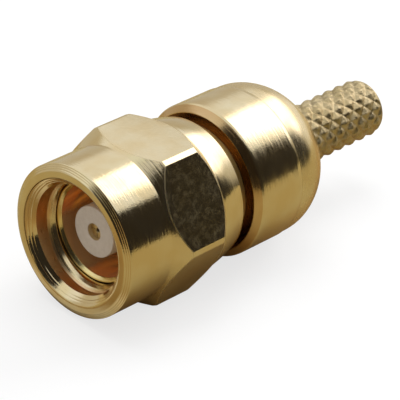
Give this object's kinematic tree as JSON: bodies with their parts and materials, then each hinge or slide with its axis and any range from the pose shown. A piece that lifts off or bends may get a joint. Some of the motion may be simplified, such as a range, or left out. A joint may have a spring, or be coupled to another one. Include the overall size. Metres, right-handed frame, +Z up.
{
  "type": "smc crimp connector",
  "caption": "Small gold-plated coaxial cable plug with a hexagonal screw-on coupling nut, white insulator, slotted centre socket and a knurled crimp stem.",
  "frame": {"origin": "on the supporting surface, under the middle of the connector's length, with the connector lying on a flat of its hexagon", "axes": "+X along the connector's axis from the mouth towards the crimp stem, +Z up"},
  "size_m": [0.0166, 0.0072, 0.0063],
  "materials": {
    "nut_gold": "polished, turned",
    "body_gold": "polished, turned",
    "stem_gold": "satin, knurled",
    "spring_gold": "satin",
    "contact_gold": "polished",
    "ptfe": "matte white"
  },
  "bodies": {
    "body": {"front_body": "body_gold", "rear_body": "stem_gold", "insulator": "ptfe", "centre_contact": "contact_gold"},
    "ring": {"retaining_ring": "spring_gold"},
    "nut": {"coupling_nut": "nut_gold"}
  },
  "joints": [
    {"name": "nut_float", "type": "slide", "parent": "body", "child": "ring", "axis": [1, 0, 0], "range_m": [-0.0002, 0.0002]},
    {"name": "nut_spin", "type": "hinge", "parent": "ring", "child": "nut", "pos_m": [-0.005, 0, 0.00317], "axis": [1, 0, 0], "continuous": true}
  ]
}
